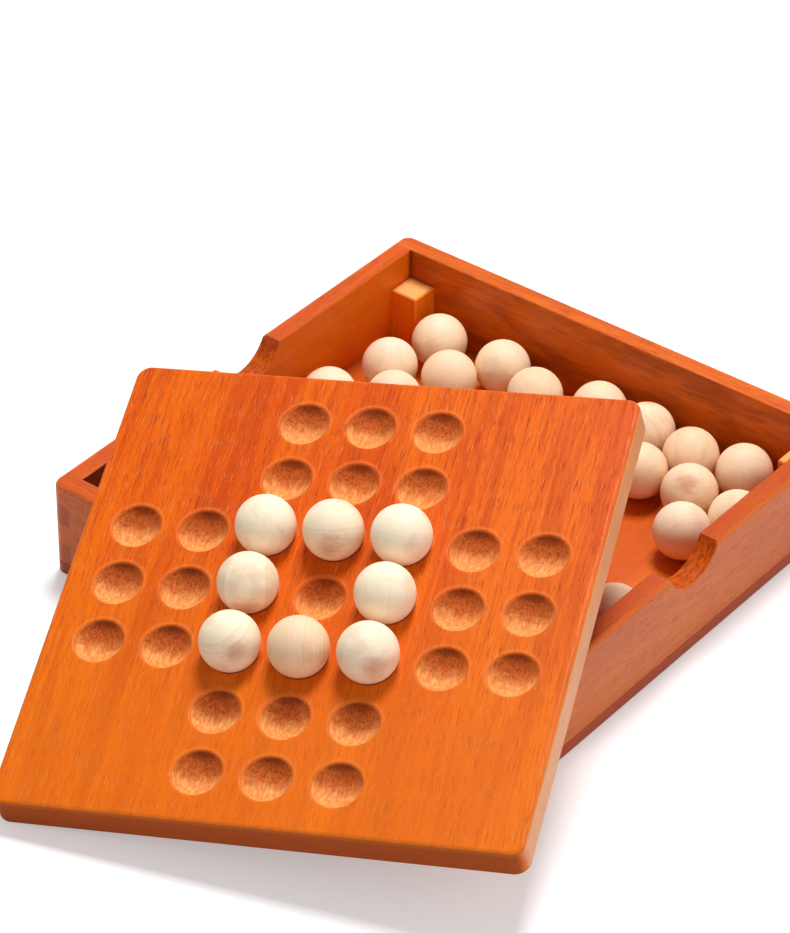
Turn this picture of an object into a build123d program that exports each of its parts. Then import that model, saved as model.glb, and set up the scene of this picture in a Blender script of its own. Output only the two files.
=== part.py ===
"""Peg solitaire set: a square wooden tray with a dimpled board that closes it, and 32 loose balls.

Millimetres, +Z up. The origin is the centre of the tray's underside. +X is the notched wall on the
right, +Y is the plain wall at the back. The board leans on the rim of the front wall with one corner
on the table, eight balls sit on it, and the others lie in the tray.
"""
from build123d import *
from math import cos, hypot, radians, sin
import os

# Tray
box_side = 194.0
box_height = 37.3
wall = 7.7
base_thickness = 5.0
box_corner_radius = 4.0
rim_outer_radius = 1.8
rim_inner_radius = 0.6
seam_chamfer = 0.5
foot_radius = 1.0

# Finger joints at the corners, counted down from the rim: the first belongs to the plain walls
FINGERS = 4

# Finger notches in the two side walls
notch_radius = 15.0
notch_depth = 8.8
notch_offset = 1.2
notch_edge_radius = 0.6

# Corner posts that carry the closed board
post_side = 11.0
post_edge = 0.5

# Board
board_play = 1.8
board_end_play = 1.2
board_thickness = 11.7
board_corner_radius = 5.0
board_top_radius = 1.6
board_bottom_radius = 1.0
hole_pitch = 23.0
dimple_depth = 4.5
dimple_edge_radius = 0.6

# The cross of holes lies a little in front of the board's middle and a little turned in it
holes_forward = 0.6
holes_turn = 0.5

# Balls
ball_diameter = 20.0
ball_gap = 0.3

# How the board leans: its slope, its turn in its own plane, its sideways place
board_tilt = 19.3
board_turn = 22.4
board_shift = 21.9
rim_gap = 0.3

# Holes of the cross that lie next to the centre hole hold a ball
HOLES_ACROSS = 7
ARM_WIDTH = 3

# Where the loose balls lie before they settle, as shares of the way from the centre to a wall
TRAY_BALL_PLACES = [
    (-0.82, 0.95), (-0.88, 0.66), (-0.95, 0.31), (-0.71, 0.47),
    (-0.61, 0.75), (-0.47, 0.96), (-0.23, 0.88), (0.06, 0.97),
    (0.32, 0.97), (0.47, 0.71), (0.58, 0.93), (0.73, 0.71),
    (0.83, 0.98), (1.00, 0.67), (0.87, 0.47), (0.97, -0.18),
    (0.19, 0.72), (-0.10, 0.60), (-0.38, 0.48), (0.30, 0.43),
    (-0.68, 0.08), (-0.11, 0.10), (0.45, -0.28), (-0.43, -0.53),
]
SETTLE_PASSES = 400

ball_radius = ball_diameter / 2
ball_step = ball_diameter + ball_gap
inner_side = box_side - 2 * wall
post_top = box_height - board_thickness
corner_place = (box_side - wall) / 2
finger_height = (box_height - base_thickness) / FINGERS
board_side = inner_side - 2 * board_play
board_length = inner_side - 2 * board_end_play


def write(solid, name):
    """Name one finished piece and write it to its own file."""
    solid.label = name
    export_step(solid, f"parts/{name}.step")


def tray_frame():
    """The four walls as one sanded frame, before it is cut at the joints."""
    with BuildPart() as frame:
        with BuildSketch(Plane.XY.offset(base_thickness)):
            RectangleRounded(box_side, box_side, box_corner_radius)
            Rectangle(inner_side, inner_side, mode=Mode.SUBTRACT)
        extrude(amount=box_height - base_thickness)
        rim = frame.faces().sort_by(Axis.Z)[-1]
        fillet(rim.outer_wire().edges(), rim_outer_radius)
        rim = frame.faces().sort_by(Axis.Z)[-1]
        fillet(rim.inner_wires()[0].edges(), rim_inner_radius)
        seat = frame.faces().sort_by(Axis.Z)[0]
        chamfer(seat.outer_wire().edges(), seam_chamfer)
        notch_middle = (0, notch_offset, box_height - notch_depth + notch_radius)
        with Locations(Plane(origin=notch_middle, z_dir=(1, 0, 0))):
            Cylinder(notch_radius, box_side + wall, mode=Mode.SUBTRACT)
        curved = frame.edges().filter_by(GeomType.CIRCLE)
        notch_edges = curved.filter_by(lambda edge: abs(edge.radius - notch_radius) < 0.01)
        fillet(notch_edges, notch_edge_radius)
    return frame.part


def wall_room(first_finger):
    """What the right wall takes of the frame: the stretch between the corners and its fingers in them."""
    with BuildPart() as room:
        with Locations((corner_place, 0, base_thickness)):
            Box(wall, inner_side, box_height - base_thickness, align=(Align.CENTER, Align.CENTER, Align.MIN))
        for finger in range(first_finger, FINGERS, 2):
            top = box_height - finger * finger_height
            with Locations((corner_place, -corner_place, top), (corner_place, corner_place, top)):
                Box(wall, wall, finger_height, align=(Align.CENTER, Align.CENTER, Align.MAX))
    return room.part


def dimple_cells():
    """Every hole of the cross as its column and row from the centre, row by row from the far side."""
    reach = HOLES_ACROSS // 2
    arm = ARM_WIDTH // 2
    cells = []
    for row in range(reach, -reach - 1, -1):
        for column in range(-reach, reach + 1):
            if abs(row) <= arm or abs(column) <= arm:
                cells.append((column, row))
    return cells


def leaning_plane():
    """The plane of the board's top face, leaning on the front rim with its lowest corner on the table."""
    slope = radians(board_tilt)
    turn = radians(board_turn)
    up_slope = Vector(0, cos(slope), sin(slope))
    across = Vector(1, 0, 0)
    normal = Vector(0, -sin(slope), cos(slope))
    row_axis = across * cos(turn) + up_slope * sin(turn)
    # The underside clears the rounded rim by the gap
    rim_centre = Vector(board_shift, rim_outer_radius - box_side / 2, box_height - rim_outer_radius)
    contact = rim_centre + normal * (rim_outer_radius + rim_gap)
    # Slide down the slope until the rounded lowest corner meets the table
    across_reach = (board_side / 2 - board_corner_radius) * sin(turn)
    length_reach = (board_length / 2 - board_corner_radius) * cos(turn)
    corner_reach = (across_reach + length_reach) * sin(slope)
    corner_drop = (board_corner_radius - board_bottom_radius) * sin(slope)
    edge_rise = board_bottom_radius * (1 - cos(slope))
    along = (corner_reach + corner_drop + edge_rise - contact.Z) / sin(slope)
    middle = contact + up_slope * along + normal * board_thickness
    return Plane(origin=middle, x_dir=row_axis, z_dir=normal)


def settle(places):
    """Push the loose balls apart, off the walls and off the corner posts, until none overlap."""
    edge = inner_side / 2 - ball_radius - ball_gap
    spots = [[x * edge, y * edge] for x, y in places]
    post_inner = inner_side / 2 - post_side
    for _ in range(SETTLE_PASSES):
        for index, spot in enumerate(spots):
            for other in spots[:index]:
                across = spot[0] - other[0]
                along = spot[1] - other[1]
                distance = hypot(across, along)
                push = (ball_step - distance) / 2 / distance
                if push > 0:
                    spot[0] += across * push
                    spot[1] += along * push
                    other[0] -= across * push
                    other[1] -= along * push
        for spot in spots:
            # The nearest point of the post in this ball's corner
            corner = [max(post_inner, abs(value)) for value in spot]
            gap = [corner[k] - abs(spot[k]) for k in range(2)]
            distance = hypot(*gap)
            push = max(0, ball_radius + ball_gap - distance)
            for k in range(2):
                size = abs(spot[k]) - (push * gap[k] / distance if distance else 0)
                spot[k] = min(edge, size) * (1 if spot[k] > 0 else -1)
    return spots


os.makedirs("parts", exist_ok=True)

# Tray: the frame is cut into its walls, each turned from the right wall's place to its own
walls = tray_frame()
wall_places = {
    "wall_notched_right": (0, 1),
    "wall_plain_back": (90, 0),
    "wall_notched_left": (180, 1),
    "wall_plain_front": (270, 0),
}
for name, (turn, first_finger) in wall_places.items():
    with BuildPart() as tray_wall:
        add(walls)
        add(wall_room(first_finger).rotate(Axis.Z, turn), mode=Mode.INTERSECT)
    write(tray_wall.part, name)

with BuildPart() as base_panel:
    with BuildSketch():
        RectangleRounded(box_side, box_side, box_corner_radius)
    extrude(amount=base_thickness)
    chamfer(base_panel.faces().sort_by(Axis.Z)[-1].edges(), seam_chamfer)
    fillet(base_panel.faces().sort_by(Axis.Z)[0].edges(), foot_radius)
write(base_panel.part, "base_panel")

post_place = (inner_side - post_side) / 2
post_places = {
    "corner_post_back_left": (-1, 1),
    "corner_post_back_right": (1, 1),
    "corner_post_front_left": (-1, -1),
    "corner_post_front_right": (1, -1),
}
for name, (side, end) in post_places.items():
    with BuildPart() as corner_post:
        with BuildSketch(Plane.XY.offset(base_thickness)):
            with Locations((side * post_place, end * post_place)):
                Rectangle(post_side, post_side)
        extrude(amount=post_top - base_thickness)
        inward = Axis((0, 0, 0), (-side, -end, 0))
        free_corner = corner_post.edges().filter_by(Axis.Z).sort_by(inward)[-1]
        chamfer(free_corner, post_edge)
        chamfer(corner_post.faces().sort_by(Axis.Z)[-1].edges(), post_edge)
    write(corner_post.part, name)

# Board: spherical dimples, a little wider than the balls, in the cross pattern
board_plane = leaning_plane()
holes_plane = Plane(board_plane.location * Location((0, -holes_forward, 0), (0, 0, holes_turn)))
dimple_radius = ball_radius + ball_gap
seat_height = dimple_radius - dimple_depth
dimple_centres = [
    holes_plane.from_local_coords(Vector(column * hole_pitch, row * hole_pitch, seat_height))
    for column, row in dimple_cells()
]
with BuildPart() as play_board:
    with BuildSketch(board_plane):
        RectangleRounded(board_side, board_length, board_corner_radius)
    extrude(amount=-board_thickness)
    board_up = Axis(board_plane.origin, board_plane.z_dir)
    fillet(play_board.faces().sort_by(board_up)[-1].edges(), board_top_radius)
    fillet(play_board.faces().sort_by(board_up)[0].edges(), board_bottom_radius)
    with Locations(*dimple_centres):
        Sphere(dimple_radius, mode=Mode.SUBTRACT)
    rims = play_board.faces().filter_by(GeomType.PLANE).sort_by(board_up)[-1].inner_wires()
    fillet([wire.edges() for wire in rims], dimple_edge_radius)
write(play_board.part, "play_board")

# Balls on the board: the ring of eight round the empty centre hole
ring = [(column, row) for column, row in dimple_cells() if max(abs(column), abs(row)) == 1]
for number, (column, row) in enumerate(ring, start=1):
    centre = holes_plane.from_local_coords(Vector(column * hole_pitch, row * hole_pitch, seat_height))
    with BuildPart() as board_ball:
        with Locations(centre):
            Sphere(ball_radius)
    write(board_ball.part, f"board_ball_{number}")

# Balls lying loose on the tray's floor
floor_height = base_thickness + ball_gap + ball_radius
for number, (x, y) in enumerate(settle(TRAY_BALL_PLACES), start=1):
    with BuildPart() as tray_ball:
        with Locations((x, y, floor_height)):
            Sphere(ball_radius)
    write(tray_ball.part, f"tray_ball_{number}")
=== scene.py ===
import random
from math import radians

import bpy
from mathutils import Euler, Matrix, Vector


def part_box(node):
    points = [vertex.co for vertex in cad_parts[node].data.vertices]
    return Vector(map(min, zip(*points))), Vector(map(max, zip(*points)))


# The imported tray, board and balls, in metres
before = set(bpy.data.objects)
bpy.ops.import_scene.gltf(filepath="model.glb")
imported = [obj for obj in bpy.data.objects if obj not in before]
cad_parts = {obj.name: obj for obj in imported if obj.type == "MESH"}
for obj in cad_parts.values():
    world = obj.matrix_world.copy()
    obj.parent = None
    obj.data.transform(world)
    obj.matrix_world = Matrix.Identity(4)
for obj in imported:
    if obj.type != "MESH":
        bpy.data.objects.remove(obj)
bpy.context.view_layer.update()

# Sizes that the finishes follow, in millimetres
OUTER_HALF = 97.0
INNER_HALF = 89.3
BOX_HEIGHT = 37.3
BASE_THICKNESS = 5.0
NOTCH_DEPTH = 8.8
NOTCH_REACH = 13.7
NOTCH_OFFSET = 1.2
BOARD_HALF = 87.5
HOLE_PITCH = 23.0
DIMPLE_RADIUS = 8.5
DIMPLE_DEPTH = 4.5
# How high the balls' centres stand over the board
SEAT_HEIGHT = 5.8
# In metres, as it is used with places in the scene
BALL_RADIUS = 0.010


def tone(red, green, blue):
    """A colour as a paint chart gives it, 0 to 255, made linear for the shaders."""
    shares = [value / 255 for value in (red, green, blue)]
    linear = [s / 12.92 if s <= 0.04045 else ((s + 0.055) / 1.055) ** 2.4 for s in shares]
    return (*linear, 1.0)


# Each stain: plain and pale wood, dark streaks, dark pores, and pores filled with pale dust
BOARD_STAIN = (tone(222, 88, 3), tone(234, 106, 5), tone(188, 61, 2), tone(146, 42, 2), tone(244, 150, 70))
WALL_STAIN = (tone(216, 89, 8), tone(224, 104, 13), tone(178, 63, 4), tone(125, 40, 4), tone(233, 144, 80))
BASE_STAIN = (tone(214, 93, 9), tone(224, 108, 17), tone(186, 72, 5), tone(134, 48, 5), tone(232, 142, 72))
POST_STAIN = (tone(253, 126, 12), tone(255, 138, 18), tone(234, 98, 6), tone(160, 52, 4), tone(246, 160, 90))
# Painted light: the chamfered groove where two boards meet is painted paler, against its shade
SEAM_PAINTED_LIGHT = tone(214, 110, 62)


def feed(tree, socket, value):
    """Join an output to a socket, or set a plain value on it."""
    if isinstance(value, bpy.types.NodeSocket):
        tree.links.new(value, socket)
    else:
        socket.default_value = value


def add_node(tree, kind, sockets, **options):
    """Add a node, set its options, and feed each input with a value or another node's output."""
    node = tree.nodes.new(kind)
    for option, value in options.items():
        setattr(node, option, value)
    for key, value in sockets.items():
        feed(tree, node.inputs[key], value)
    return node


def add_maths(tree, operation, first, second=0.0):
    """One step of arithmetic."""
    return add_node(tree, "ShaderNodeMath", {0: first, 1: second}, operation=operation).outputs[0]


def add_step(tree, value, low, high, bottom=0.0, top=1.0):
    """Bottom below low, top above high, and a smooth step from one to the other."""
    sockets = {"Value": value, "From Min": low, "From Max": high, "To Min": bottom, "To Max": top}
    return add_node(tree, "ShaderNodeMapRange", sockets, interpolation_type="SMOOTHSTEP").outputs[0]


def add_blend(tree, share, first, second):
    """The first colour, with a share of the second laid over it."""
    # A mix node has sockets for numbers and vectors too, and 6 and 7 are its two colours
    return add_node(tree, "ShaderNodeMix", {0: share, 6: first, 7: second}, data_type="RGBA").outputs[2]


def middle(node):
    """The centre of a CAD node's box at rest."""
    low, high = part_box(node)
    return (Vector(low) + Vector(high)) / 2


def coat(node, material):
    """Give a CAD node its finish."""
    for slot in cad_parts[node].material_slots:
        slot.material = material


class Finish:
    """One material as it is built up: its shader, and the small steps that patterns are made of."""

    def __init__(self, name, origin=(0, 0, 0), turn=(0, 0, 0)):
        self.material = bpy.data.materials.new(name)
        self.material.use_nodes = True
        self.tree = self.material.node_tree
        self.shader = self.tree.nodes["Principled BSDF"]
        self.places = self.node("ShaderNodeTexCoord", {})
        # Millimetres from the piece's own origin, turned so that Y runs with the grain
        sockets = {"Vector": self.places.outputs["Object"], "Location": origin, "Rotation": turn,
                   "Scale": (0.001, 0.001, 0.001)}
        self.space = self.node("ShaderNodeMapping", sockets, vector_type="TEXTURE").outputs["Vector"]
        split = self.node("ShaderNodeSeparateXYZ", {"Vector": self.space})
        self.across, self.along, self.depth = split.outputs
        # How far the surface faces along the grain, with its sign and without
        self.facing = self.facing_to(Euler(turn).to_matrix() @ Vector((0, 1, 0)))
        self.end_grain = self.size_of(self.facing)

    def node(self, kind, sockets, **options):
        """Add a node to this material."""
        return add_node(self.tree, kind, sockets, **options)

    def maths(self, operation, first, second=0.0):
        """One step of arithmetic in this material."""
        return add_maths(self.tree, operation, first, second)

    def times(self, first, second):
        """The product of two values."""
        return self.maths("MULTIPLY", first, second)

    def size_of(self, value):
        """A value without its sign."""
        return self.maths("ABSOLUTE", value)

    def larger(self, first, second):
        """The larger of two values."""
        return self.maths("MAXIMUM", first, second)

    def facing_to(self, way):
        """How far the surface faces a way: 1 straight towards it, -1 straight away."""
        sockets = {0: self.places.outputs["Normal"], 1: tuple(way)}
        return self.node("ShaderNodeVectorMath", sockets, operation="DOT_PRODUCT").outputs["Value"]

    def length(self, vector):
        """How long a vector is."""
        return self.node("ShaderNodeVectorMath", {0: vector}, operation="LENGTH").outputs["Value"]

    def reach(self):
        """How far out a place is, in a square round the middle."""
        return self.larger(self.size_of(self.across), self.size_of(self.along))

    def stretch(self, amounts, shift=(0, 0, 0)):
        """The grain's space drawn out or squeezed along each of its axes."""
        sockets = {0: self.space, 1: amounts, 2: shift}
        return self.node("ShaderNodeVectorMath", sockets, operation="MULTIPLY_ADD").outputs[0]

    def noise(self, vector, detail=2.0, roughness=0.5, distortion=0.0):
        """Soft random patches, about one to each unit of the space."""
        sockets = {"Vector": vector, "Scale": 1.0, "Detail": detail, "Roughness": roughness,
                   "Distortion": distortion}
        return self.node("ShaderNodeTexNoise", sockets).outputs[0]

    def between(self, value, low, high, bottom=0.0, top=1.0):
        """Bottom below low, top above high, and a smooth step from one to the other."""
        return add_step(self.tree, value, low, high, bottom, top)

    def blend(self, share, first, second):
        """The first colour, with a share of the second laid over it."""
        return add_blend(self.tree, share, first, second)

    def relief(self, height, distance, strength):
        """Raise the surface by a height of 0 to 1 times a distance in metres."""
        sockets = {"Height": height, "Distance": distance, "Strength": strength}
        return self.node("ShaderNodeBump", sockets).outputs[0]

    def apply(self, **sockets):
        """Feed the shader itself."""
        names = {"colour": "Base Color", "gloss": "Roughness", "normal": "Normal",
                 "sheen": "Specular IOR Level"}
        for name, value in sockets.items():
            feed(self.tree, self.shader.inputs[names[name]], value)
        return self.material


def figure(finish, stain, shift, band=1.0, pore=1.0):
    """Stained wood: broad bands, streaks, fibre, and short open pores, pale with filler or dark."""
    plain, pale, dark, deep, filler = stain
    bands = finish.noise(finish.stretch((0.050, 0.010, 0.050), (shift, shift, shift)), 2.0, 0.5, 0.4)
    streaks = finish.noise(finish.stretch((0.62, 0.020, 0.62), (shift, 3.1, shift)), 5.0, 0.68, 0.3)
    flecks = finish.noise(finish.stretch((1.7, 0.075, 1.7), (2.0, shift, 6.0)), 3.0, 0.65, 0.2)
    fibre = finish.noise(finish.stretch((4.5, 0.22, 4.5), (5.0, shift, 5.0)), 3.0, 0.65)
    shades = finish.noise(finish.stretch((0.17, 0.011, 0.17), (4.0, shift, shift)), 3.0, 0.6, 0.5)
    colour = finish.blend(finish.between(bands, 0.38, 0.62), plain, pale)
    # Each pattern darkens the wood between two levels of its noise, by a share
    layers = [(shades, 0.46, 0.62, 0.50 * band), (streaks, 0.47, 0.66, 0.56 * band),
              (flecks, 0.50, 0.68, 0.58 * band), (fibre, 0.42, 0.66, 0.30)]
    for pattern, low, high, share in layers:
        colour = finish.blend(finish.times(finish.between(pattern, low, high), share), colour, dark)
    pale_noise = finish.noise(finish.stretch((2.2, 0.15, 2.2), (shift, 7.7, 2.0)), 2.0, 0.55)
    pale_pores = finish.between(pale_noise, 0.59, 0.68)
    dark_noise = finish.noise(finish.stretch((2.0, 0.12, 2.0), (9.0, shift, 4.0)), 2.5, 0.58)
    dark_pores = finish.between(dark_noise, 0.59, 0.67)
    colour = finish.blend(finish.times(pale_pores, 0.40 * pore), colour, filler)
    colour = finish.blend(finish.times(dark_pores, 0.70 * pore), colour, deep)
    pores = finish.larger(pale_pores, dark_pores)
    height = finish.maths("SUBTRACT", finish.times(fibre, 0.25), pores)
    return colour, height, pores


def ends(finish, colour, end_tone, dots_tone, low, high, share=0.85):
    """Where the grain is cut across, the wood has its own tone, with the pores' mouths as dots."""
    cut = finish.between(finish.end_grain, low, high, 0.0, share)
    colour = finish.blend(cut, colour, end_tone)
    dots = finish.between(finish.noise(finish.stretch((2.6, 2.6, 2.6)), 2.0, 0.6), 0.56, 0.68)
    spots = finish.times(finish.times(dots, cut), 0.6)
    return finish.blend(spots, colour, dots_tone), cut, spots


# The board's own axes, read from the ring of balls on it
ring = [middle(f"board_ball_{number}") for number in range(1, 9)]
row_axis = (ring[4] - ring[3]).normalized()
column_axis = (ring[1] - ring[6]).normalized()
board_normal = row_axis.cross(column_axis)
board_turn = Matrix((row_axis, column_axis, board_normal)).transposed().to_euler()
board_centre = sum(ring, Vector()) / 8 - board_normal * SEAT_HEIGHT / 1000


def dimple_places(finish):
    """Where a surface is inside a dimple: under the top, above the underside and away from the edges."""
    inside = finish.between(finish.depth, -0.30, -0.75)
    above_foot = finish.between(finish.depth, -(DIMPLE_DEPTH + 1.1), -(DIMPLE_DEPTH + 0.7))
    off_edges = finish.between(finish.reach(), BOARD_HALF - 5.5, BOARD_HALF - 7.5)
    return finish.times(finish.times(inside, above_foot), off_edges), off_edges


def dimple_colour(finish, inside):
    """Paler wood where the cutter went, with painted highlight streaks; each far wall is painted darker as
    shade, and torn into specks.
    """
    wander = finish.noise(finish.stretch((0.35, 0.35, 0.35)), 2.0, 0.5)
    # Painted shade on each far wall, where its grain is also torn into specks
    slope = finish.maths("ADD", finish.facing, finish.times(finish.maths("SUBTRACT", wander, 0.5), 0.7))
    torn_and_shaded = finish.times(finish.between(slope, 0.34, -0.42), inside)
    speck_noise = finish.noise(finish.stretch((1.5, 1.0, 1.5)), 4.0, 0.78, 0.4)
    specks = finish.times(finish.between(speck_noise, 0.49, 0.60), torn_and_shaded)
    # Painted highlight: pale streaks over the cup
    painted_highlight_noise = finish.noise(finish.stretch((1.1, 0.22, 1.1), (3, 0, 3)), 3.0, 0.62)
    cup = finish.blend(finish.between(painted_highlight_noise, 0.34, 0.72), tone(230, 134, 60), tone(248, 182, 112))
    cup = finish.blend(finish.times(torn_and_shaded, 0.85), cup, tone(203, 91, 29))
    cup = finish.blend(finish.times(specks, 0.62), cup, tone(126, 32, 7))
    # The steep wall under the far rim is in shade
    rim_shade = finish.between(finish.facing, -0.50, -0.74, 0.0, 0.70)
    return finish.blend(rim_shade, cup, tone(114, 38, 9)), specks


def dimple_rim_highlights(finish, off_edges):
    """A painted highlight: the faint pale ring round each dimple's rim, mostly on its far side."""
    offsets = []
    for place in (finish.across, finish.along):
        cell = finish.maths("ROUND", finish.maths("DIVIDE", place, HOLE_PITCH))
        offsets.append(finish.maths("SUBTRACT", place, finish.times(cell, HOLE_PITCH)))
    out = finish.length(finish.node("ShaderNodeCombineXYZ", {"X": offsets[0], "Y": offsets[1]}).outputs[0])
    rings = finish.times(finish.between(out, DIMPLE_RADIUS, DIMPLE_RADIUS + 0.3),
                         finish.between(out, DIMPLE_RADIUS + 1.6, DIMPLE_RADIUS + 0.5))
    on_top = finish.between(finish.depth, -0.6, -0.3)
    # The cross of holes is three wide
    cross = finish.maths("MINIMUM", finish.size_of(finish.across), finish.size_of(finish.along))
    in_cross = finish.between(cross, 1.5 * HOLE_PITCH + 0.5, 1.5 * HOLE_PITCH - 0.5)
    far_side = finish.between(offsets[1], -6.0, 6.0, 0.06, 0.42)
    for limit in (on_top, in_cross, off_edges, far_side):
        rings = finish.times(rings, limit)
    return rings


def board_finish():
    """The board: satin orange stain, grain from near to far, paler and speckled inside the dimples."""
    finish = Finish("board_orange_stain", tuple(board_centre), tuple(board_turn))
    colour, height, pores = figure(finish, BOARD_STAIN, 2.4)
    # Painted light: the near part is painted paler and more golden
    painted_near_light = finish.between(finish.along, 50.0, -75.0, 0.0, 0.44)
    colour = finish.blend(painted_near_light, colour, tone(242, 128, 22))
    colour, cut, _ = ends(finish, colour, tone(168, 70, 17), tone(106, 34, 8), 0.6, 0.9)
    # Painted reflection: the long sides are painted paler
    side = finish.between(finish.size_of(finish.facing_to(row_axis)), 0.80, 0.97, 0.0, 0.75)
    far_out = finish.between(finish.size_of(finish.across), BOARD_HALF - 3.5, BOARD_HALF - 2.5)
    colour = finish.blend(finish.times(side, far_out), colour, tone(240, 170, 116))
    inside, off_edges = dimple_places(finish)
    cup, specks = dimple_colour(finish, inside)
    colour = finish.blend(finish.times(inside, 0.92), colour, cup)
    # Painted highlight round the dimples' rims
    colour = finish.blend(dimple_rim_highlights(finish, off_edges), colour, tone(240, 128, 62))
    # The top's edges are rubbed paler, and painted paler as a highlight along the rounded arris
    edge = finish.between(finish.facing_to(board_normal), 0.985, 0.85)
    near_top = finish.between(finish.depth, -1.8, -1.2)
    edge = finish.times(edge, finish.maths("SUBTRACT", near_top, inside))
    colour = finish.blend(finish.times(finish.larger(edge, 0.0), 0.20), colour, tone(239, 142, 68))
    dull = finish.larger(finish.times(pores, 0.6), finish.larger(inside, cut))
    dull = finish.larger(dull, edge)
    gloss = finish.between(dull, 0.0, 1.0, 0.32, 0.60)
    rough = finish.maths("SUBTRACT", height, specks)
    return finish.apply(colour=colour, gloss=gloss, sheen=0.13, normal=finish.relief(rough, 0.00012, 0.7))


def notch_places(finish, outward, side):
    """Where a notch's sawn surface is: near its middle, under the rim, facing neither in nor out."""
    above = finish.between(finish.depth, BOX_HEIGHT - NOTCH_DEPTH - 0.5, BOX_HEIGHT - NOTCH_DEPTH - 0.2)
    below_rim = finish.between(finish.depth, BOX_HEIGHT - 0.2, BOX_HEIGHT - 0.7)
    from_middle = finish.size_of(finish.maths("SUBTRACT", finish.along, side * NOTCH_OFFSET))
    near = finish.between(from_middle, NOTCH_REACH - 0.5, NOTCH_REACH - 1.1)
    facing_in = finish.between(finish.size_of(outward), 0.75, 0.45)
    return finish.times(finish.times(above, below_rim), finish.times(near, facing_in))


def wall_finish(name, turn, shift, notched):
    """A tray wall: the same stain, grain along the wall, end grain at its fingers and in its notch."""
    right_wall = turn == 0
    left_wall = turn == 180
    finish = Finish(name, (0, 0, 0), (0, 0, radians(turn)))
    colour, height, pores = figure(finish, WALL_STAIN, shift, 0.7, 0.5)
    colour, _, spots = ends(finish, colour, tone(180, 76, 23), tone(114, 40, 11), 0.55, 0.95, 0.5)
    # The outward side of the grain's space is the wall's own outside
    outward = finish.facing_to(Euler((0, 0, radians(turn))).to_matrix() @ Vector((1, 0, 0)))
    inner = finish.between(outward, -0.6, -0.95)
    outer = finish.between(outward, 0.7, 0.95)
    # Painted light: the left wall's inside is painted brighter than the other walls' insides
    inner_stain_and_light = tone(250, 124, 12) if left_wall else tone(217, 106, 14)
    colour = finish.blend(finish.times(inner, 0.6 if left_wall else 0.35), colour, inner_stain_and_light)
    # Inside, the stain lies in brown clouds; the corners are painted darker as shade, over a dark glue line
    clouds = finish.noise(finish.stretch((0.09, 0.030, 0.10), (shift, shift, 1.0)), 2.5, 0.55, 0.3)
    cloud_share = finish.between(clouds, 0.44, 0.66, 0.0, 0.12 if left_wall else 0.55)
    colour = finish.blend(finish.times(cloud_share, inner), colour, tone(146, 58, 6))
    painted_corner_shade = finish.between(finish.size_of(finish.along), INNER_HALF - 1.8, INNER_HALF - 0.2, 0.0, 0.7)
    colour = finish.blend(finish.times(painted_corner_shade, inner), colour, tone(112, 50, 16))
    if left_wall:
        # Painted shadow: the board's shadow on the left wall's inside, towards the front
        board_shadow_front = finish.between(finish.along, 50.0, 76.0, 0.0, 0.85)
        colour = finish.blend(finish.times(board_shadow_front, inner), colour, tone(72, 26, 6))
    # The rim of the right wall is painted darker
    rim = finish.between(finish.depth, BOX_HEIGHT - 0.8, BOX_HEIGHT - 0.1, 0.0, 0.55 if right_wall else 0.05)
    colour = finish.blend(rim, colour, tone(176, 66, 10))
    # Outside, the walls are painted a little paler as painted reflection, and faint planer marks stand across
    # the grain
    colour = finish.blend(finish.times(outer, 0.14), colour, tone(246, 150, 60))
    marks = finish.noise(finish.stretch((0.4, 1.9, 0.16), (1.0, shift, 1.0)), 2.0, 0.6)
    marks = finish.times(finish.between(marks, 0.48, 0.60, 0.0, 0.17), outer)
    colour = finish.blend(marks, colour, tone(238, 140, 78))
    # Painted highlight: the rounded outer arris is painted paler
    arris_highlight = finish.times(finish.between(outward, 0.20, 0.45), finish.between(outward, 0.97, 0.80))
    arris_highlight = finish.times(arris_highlight, finish.between(finish.depth, BOX_HEIGHT - 2.8, BOX_HEIGHT - 1.8, 0.0, 0.20))
    colour = finish.blend(arris_highlight, colour, tone(242, 148, 63))
    # Painted light: the chamfered groove at the wall's foot is painted paler, against its shade
    seam_light = finish.between(finish.depth, BASE_THICKNESS + 0.7, BASE_THICKNESS + 0.3, 0.0, 0.5)
    colour = finish.blend(seam_light, colour, SEAM_PAINTED_LIGHT)
    rough = finish.maths("SUBTRACT", height, spots)
    gloss = finish.between(pores, 0.0, 1.0, 0.34, 0.46)
    sheen = 0.24
    if notched:
        # The notch is left as sawn: dull, and streaked along its arc
        notch = notch_places(finish, outward, 1 if right_wall else -1)
        saw = finish.noise(finish.stretch((0.9, 0.30, 0.30), (shift, 0, 0)), 5.0, 0.72, 0.3)
        specks = finish.between(saw, 0.42, 0.62)
        sawn = finish.blend(finish.times(specks, 0.66), tone(206, 88, 18), tone(112, 36, 6))
        colour = finish.blend(finish.times(notch, 0.95), colour, sawn)
        sheen = finish.between(notch, 0.0, 1.0, 0.24, 0.06)
        rough = finish.maths("SUBTRACT", rough, finish.times(notch, specks))
    return finish.apply(colour=colour, gloss=gloss, sheen=sheen, normal=finish.relief(rough, 0.00013, 0.7))


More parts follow.
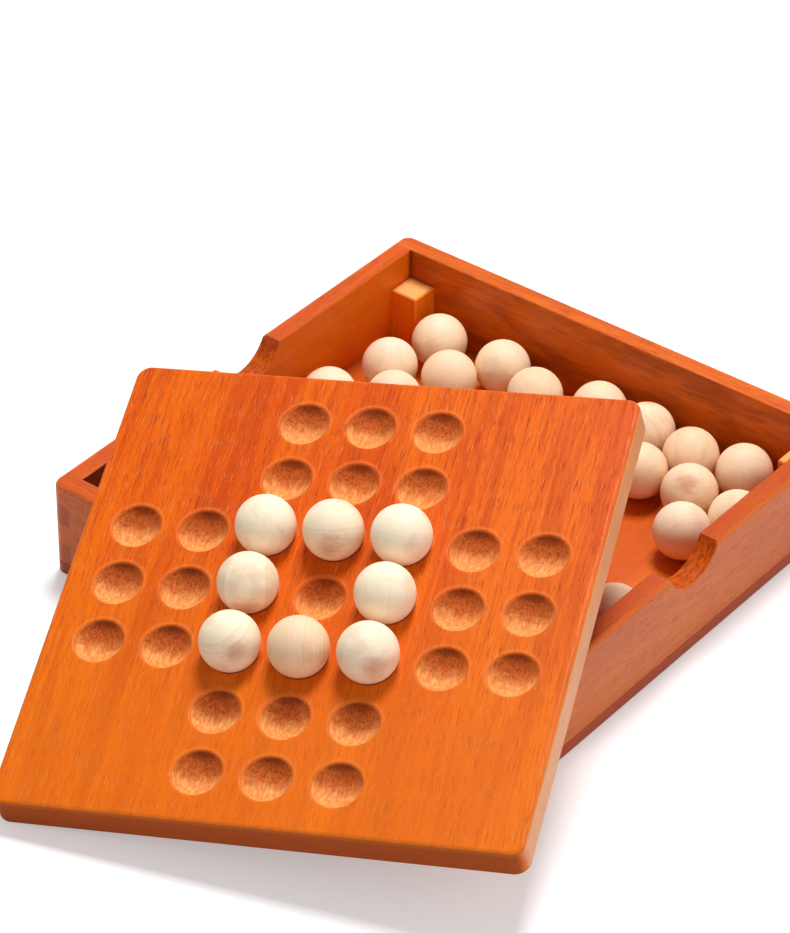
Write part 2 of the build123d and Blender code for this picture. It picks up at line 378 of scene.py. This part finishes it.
def base_finish():
    """The tray's floor board: smooth and warm, browner in clouds, painted darker near the walls as shade,
    redder at its edge.
    """
    finish = Finish("base_orange_stain")
    colour, height, pores = figure(finish, BASE_STAIN, 8.3, 0.4, 0.5)
    clouds = finish.noise(finish.stretch((0.05, 0.022, 0.05), (6.0, 2.0, 0.0)), 2.5, 0.55, 0.3)
    colour = finish.blend(finish.between(clouds, 0.48, 0.68, 0.0, 0.35), colour, tone(176, 78, 10))
    reach = finish.reach()
    # Painted shade on the floor near the walls
    painted_corner_shade = finish.between(reach, INNER_HALF - 5.3, INNER_HALF - 0.1, 0.0, 0.5)
    colour = finish.blend(painted_corner_shade, colour, tone(150, 62, 12))
    edge = finish.between(reach, OUTER_HALF - 3, OUTER_HALF - 1, 0.0, 0.5)
    colour = finish.blend(edge, colour, tone(167, 53, 17))
    # Painted light: the chamfered groove at the base's outer top edge is painted paler, against its shade
    seam_light = finish.times(finish.between(finish.depth, BASE_THICKNESS - 0.6, BASE_THICKNESS - 0.3, 0.0, 0.5),
                        finish.between(reach, OUTER_HALF - 1.5, OUTER_HALF - 0.8))
    colour = finish.blend(seam_light, colour, SEAM_PAINTED_LIGHT)
    gloss = finish.between(pores, 0.0, 1.0, 0.38, 0.48)
    return finish.apply(colour=colour, gloss=gloss, sheen=0.22, normal=finish.relief(height, 0.0001, 0.5))


def post_finish(name, shift):
    """A corner post: upright grain, and a pale sawn top."""
    finish = Finish(name, (0, 0, 0), (radians(90), 0, 0))
    colour, height, pores = figure(finish, POST_STAIN, shift, 0.6, 0.4)
    colour, _, _ = ends(finish, colour, tone(250, 178, 104), tone(222, 124, 54), 0.6, 0.9, 0.95)
    gloss = finish.between(pores, 0.0, 1.0, 0.40, 0.5)
    return finish.apply(colour=colour, gloss=gloss, sheen=0.30, normal=finish.relief(height, 0.00012, 0.5))


# Directions as they look from the front: to the viewer, up and to the right
viewer = Vector((0.477, -0.638, 0.605))
upright = Vector((-0.363, 0.485, 0.796))
rightward = Vector((0.790, 0.613, 0.0))

# Each board ball's growth rings: the way across them, their distance from the ring axis in mm, how strong,
# how tan the whole ball is, and the way to a brown smudge, if it has one
RING_STYLES = {
    "board_ball_1": (rightward + upright, 40, 0.45, 0.10, None),
    "board_ball_2": (upright, 46, 1.6, 0.25,
                     viewer * 0.78 - upright * 0.55 - rightward * 0.10),
    "board_ball_3": (upright + rightward * 0.15, 40, 0.8, 0.0, None),
    "board_ball_4": (viewer - upright * 0.75, 1, 2.2, 0.2,
                     viewer * 0.62 - upright * 0.76 - rightward * 0.02),
    "board_ball_5": (rightward - viewer * 0.4, 30, 0.6, 0.1, None),
    "board_ball_6": (upright - rightward * 0.6, 12, 1.2, 0.1,
                     viewer * 0.85 - upright * 0.30 + rightward * 0.25),
    "board_ball_7": (rightward, 38, 1.7, 0.95, None),
    "board_ball_8": (upright * 0.8 + viewer * 0.5, 14, 0.7, 0.15,
                     viewer * 0.85 - upright * 0.5 + rightward * 0.2),
}


def ball_finish(node, seed):
    """A ball: pale bare wood, faint growth rings, fine pores, and a smudge or two."""
    chance = random.Random(seed)

    def any_way():
        return Vector([chance.gauss(0, 1) for _ in range(3)]).normalized()

    usual = (any_way(), chance.uniform(6, 40), chance.uniform(0.5, 1.4), chance.uniform(0.55, 1.0),
             any_way())
    across, offset, strength, tan, smudge_way = RING_STYLES.get(node, usual)
    across = across.normalized()
    grain = across.cross(viewer if abs(across.dot(viewer)) < 0.9 else upright).normalized()
    turn = Matrix((across, grain, across.cross(grain))).transposed().to_euler()
    centre = middle(node)
    finish = Finish(f"{node}_bare_wood", tuple(centre), tuple(turn))
    # Rings round an axis that runs with the grain, at this ball's distance from it
    radius = finish.length(finish.stretch((1, 0.02, 1), (offset, seed, 0)))
    wander = finish.noise(finish.stretch((0.10, 0.05, 0.10), (seed, seed, 0)), 2.0)
    radius = finish.maths("ADD", radius, finish.times(wander, 3.0))
    lines = finish.node("ShaderNodeCombineXYZ", {"X": radius, "Y": float(seed)}).outputs[0]
    rings = finish.noise(lines, 4.0, 0.72)
    fibre = finish.noise(finish.stretch((2.6, 0.30, 2.6), (seed, 0, seed)), 3.0, 0.6)
    cloud = finish.noise(finish.stretch((0.12, 0.09, 0.12), (seed, 4, seed)), 3.0, 0.6)
    # A tanner ball is pinker all over
    clean, tanned = tone(255, 240, 212), tone(249, 212, 174)
    cream = [first + (second - first) * tan for first, second in zip(clean, tanned)]
    colour = finish.blend(finish.between(rings, 0.40, 0.70, 0.0, 0.22 * strength), cream, tone(214, 172, 124))
    colour = finish.blend(finish.between(fibre, 0.45, 0.75, 0.0, 0.16), colour, tone(212, 172, 128))
    colour = finish.blend(finish.between(cloud, 0.50, 0.70, 0.0, 0.30), colour, tone(220, 172, 124))
    if smudge_way is not None:
        # A soft brown mark on one side
        mark = centre + smudge_way.normalized() * BALL_RADIUS
        sockets = {0: finish.places.outputs["Object"], 1: tuple(mark)}
        away = finish.node("ShaderNodeVectorMath", sockets, operation="DISTANCE").outputs["Value"]
        ragged = finish.noise(finish.stretch((0.5, 0.22, 0.5), (0, seed, 0)), 3.0, 0.6)
        away = finish.maths("ADD", away, finish.times(ragged, 0.006))
        colour = finish.blend(finish.between(away, 0.0090, 0.0034, 0.0, 0.58), colour, tone(198, 124, 76))
    height = finish.maths("SUBTRACT", finish.times(rings, 0.5), finish.times(fibre, 0.4))
    return finish.apply(colour=colour, gloss=0.62, normal=finish.relief(height, 0.00006, 0.5))


coat("play_board", board_finish())
coat("base_panel", base_finish())
wall_turns = {
    "wall_notched_right": 0,
    "wall_notched_left": 180,
    "wall_plain_back": 90,
    "wall_plain_front": -90,
}
for count, (wall_name, wall_turn) in enumerate(wall_turns.items()):
    notched = "notched" in wall_name
    coat(wall_name, wall_finish(f"{wall_name}_stain", wall_turn, 1.7 + 4.1 * count, notched))
corners = ["back_left", "back_right", "front_left", "front_right"]
for count, corner in enumerate(corners):
    coat(f"corner_post_{corner}", post_finish(f"post_{corner}_stain", 0.6 + 3.3 * count))
balls = [f"board_ball_{number}" for number in range(1, 9)]
balls += [f"tray_ball_{number}" for number in range(1, 25)]
for seed, ball in enumerate(balls, start=3):
    coat(ball, ball_finish(ball, seed))


# Stage: a white table top that keeps the object's shadow
bpy.ops.object.select_all(action="DESELECT")
bpy.ops.mesh.primitive_plane_add(size=8.0, location=(0, 0, 0))
table = bpy.context.object
table.name = "table_top"
table_white = bpy.data.materials.new("table_white")
table_white.use_nodes = True
tree = table_white.node_tree
tree.nodes.clear()
path = add_node(tree, "ShaderNodeLightPath", {})
seen = add_maths(tree, "MAXIMUM", path.outputs["Is Camera Ray"], path.outputs["Is Glossy Ray"])
# Far from the set the table is plain white, whatever light reaches it
place = add_node(tree, "ShaderNodeTexCoord", {}).outputs["Object"]
away = add_node(tree, "ShaderNodeVectorMath", {0: place}, operation="LENGTH").outputs["Value"]
far = add_step(tree, away, 0.30, 1.10, 0.34, 1.0)
paint = add_blend(tree, seen, (0.60, 0.60, 0.60, 1), (0.82, 0.82, 0.82, 1))
card = add_node(tree, "ShaderNodeBsdfDiffuse", {"Color": paint})
level = add_maths(tree, "MULTIPLY", seen, far)
glow = add_node(tree, "ShaderNodeEmission", {"Color": (1, 1, 1, 1), "Strength": level})
both = add_node(tree, "ShaderNodeAddShader", {0: card.outputs[0], 1: glow.outputs[0]})
add_node(tree, "ShaderNodeOutputMaterial", {"Surface": both.outputs[0]})
table.data.materials.append(table_white)

# World: a plain studio, paler low down than overhead, and white where the camera looks past the table
world = bpy.data.worlds.new("studio")
bpy.context.scene.world = world
world.use_nodes = True
tree = world.node_tree
tree.nodes.clear()
way = add_node(tree, "ShaderNodeTexCoord", {}).outputs["Generated"]
height = add_node(tree, "ShaderNodeSeparateXYZ", {0: way}).outputs["Z"]
fade = add_node(tree, "ShaderNodeValToRGB", {0: height})
fade.color_ramp.interpolation = "EASE"
for element, position, grey in zip(fade.color_ramp.elements, (0.45, 0.85), (0.57, 0.21)):
    element.position = position
    element.color = (grey, grey, grey, 1)
path = add_node(tree, "ShaderNodeLightPath", {})
white = add_blend(tree, path.outputs["Is Camera Ray"], fade.outputs[0], (1, 1, 1, 1))
sky = add_node(tree, "ShaderNodeBackground", {"Color": white})
add_node(tree, "ShaderNodeOutputWorld", {"Surface": sky.outputs[0]})


def lamp(name, direction, distance, size, power):
    """A soft square lamp that looks at the middle of the set from one direction."""
    target = Vector((0.02, -0.05, 0.03))
    light = bpy.data.lights.new(name, "AREA")
    light.shape = "SQUARE"
    light.size = size
    light.energy = power
    holder = bpy.data.objects.new(name, light)
    way = Vector(direction).normalized()
    holder.location = target + way * distance
    holder.rotation_euler = way.to_track_quat("Z", "Y").to_euler()
    bpy.context.scene.collection.objects.link(holder)


lamp("overhead_softbox", (-0.14, 0.33, 0.93), distance=1.6, size=0.55, power=25.6)
lamp("side_fill", (0.90, -0.10, 0.44), distance=1.6, size=1.8, power=6.0)

# Camera at the photograph's angle, in the place that was fitted to the photo
lens = bpy.data.cameras.new("photo_camera")
lens.lens = 165.93
lens.sensor_width = 36.0
camera = bpy.data.objects.new("photo_camera", lens)
camera.location = (0.70341, -0.94078, 0.89115)
camera.rotation_euler = (radians(53.809), radians(-0.307), radians(38.029))
bpy.context.scene.collection.objects.link(camera)
bpy.context.scene.camera = camera
bpy.context.scene.view_settings.view_transform = "Standard"
